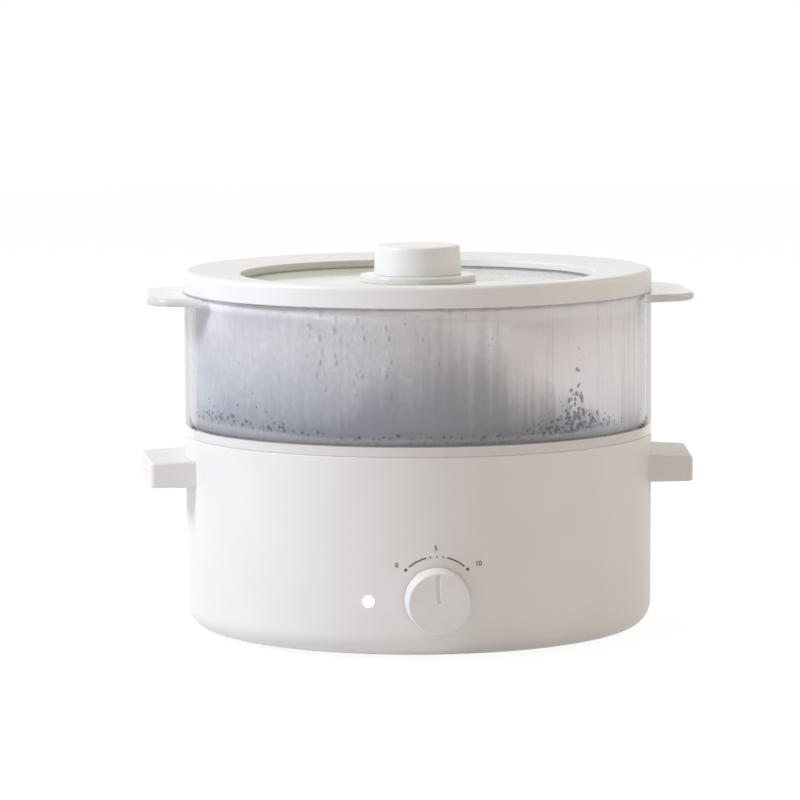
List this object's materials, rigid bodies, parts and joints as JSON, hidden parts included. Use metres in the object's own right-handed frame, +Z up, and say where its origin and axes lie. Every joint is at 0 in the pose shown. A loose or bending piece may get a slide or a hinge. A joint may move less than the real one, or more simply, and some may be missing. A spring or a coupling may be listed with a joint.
{
  "type": "electric hot pot with steamer and lid",
  "caption": "Round electric hot pot with a fixed inner pot, side handles, a control knob and lit indicator, a clear steamer tier with a perforated tray, and a ring lid with recessed glass.",
  "frame": {"origin": "the middle of the ground that the pot covers, knob included, in the plane that the rubber feet stand on. The pot's own axis is 7.338 mm towards +Y from it", "axes": "+Z up along the pot's axis, -Y towards the control knob, +X towards the handle on the right of someone facing the knob"},
  "size_m": [0.2846, 0.2546, 0.1971],
  "materials": {
    "housing_white": "satin moulded",
    "handle_white": "satin moulded",
    "cover_white": "fine moulded grain",
    "knob_white": "satin moulded",
    "lid_white": "satin moulded",
    "lid_knob_white": "smooth moulded",
    "clear_tier": "clear, fogged inside",
    "clear_collar": "clear",
    "lid_glass": "tempered, smooth",
    "silicone": "soft matte",
    "foot_rubber": "soft matte",
    "pot_coating": "non-stick coated, speckled",
    "tray_steel": "fine brushed",
    "element_steel": "oxidised",
    "sheet_steel": "galvanised",
    "zinc_screw": "zinc plated",
    "shaft_steel": "turned",
    "fuse_silver": "plain",
    "dark_resin": "moulded",
    "inlet_black": "fine moulded grain",
    "terminal_brass": "plain",
    "board_green": "printed board",
    "block_white": "moulded",
    "lens_lit": "diffusing, lit"
  },
  "bodies": {
    "base": {"outer_housing": "housing_white", "handle_left": "handle_white", "handle_right": "handle_white", "handle_screws": "zinc_screw", "inner_pot": "pot_coating", "pot_seal": "silicone", "heating_element": "element_steel", "heat_shield": "sheet_steel", "shield_screws": "zinc_screw", "limiter": "dark_resin", "limiter_bracket": "sheet_steel", "limiter_screws": "zinc_screw", "thermal_fuse": "fuse_silver", "fuse_clip": "sheet_steel", "fuse_screw": "zinc_screw", "rotary_switch": "dark_resin", "switch_terminals": "terminal_brass", "switch_nut": "zinc_screw", "indicator_lens": "lens_lit", "indicator_lamp": "lens_lit", "lamp_board": "board_green", "power_inlet": "inlet_black", "inlet_pins": "terminal_brass", "inlet_screws": "zinc_screw", "terminal_block": "block_white", "bottom_cover": "cover_white", "cover_screws": "zinc_screw", "rubber_feet": "foot_rubber"},
    "dial": {"control_knob": "knob_white", "switch_shaft": "shaft_steel"},
    "steamer": {"steamer_ring": "clear_tier"},
    "tray": {"steam_tray": "tray_steel"},
    "lid": {"lid_ring": "lid_white", "glass_gasket": "silicone", "lid_glass": "lid_glass", "knob_seat": "clear_collar", "lid_knob": "lid_knob_white", "glass_washer": "silicone", "knob_washer": "zinc_screw", "knob_screw": "zinc_screw"}
  },
  "joints": [
    {"name": "knob_turn", "type": "hinge", "parent": "base", "child": "dial", "pos_m": [0, -0.11266, 0.031], "axis": [0, 1, 0], "range_deg": [-41, 51]},
    {"name": "steamer_lift", "type": "slide", "parent": "base", "child": "steamer", "axis": [0, 0, 1], "range_m": [0, 0.1]},
    {"name": "tray_lift", "type": "slide", "parent": "steamer", "child": "tray", "axis": [0, 0, 1], "range_m": [0, 0.055]},
    {"name": "lid_lift", "type": "slide", "parent": "steamer", "child": "lid", "axis": [0, 0, 1], "range_m": [0, 0.12]}
  ]
}
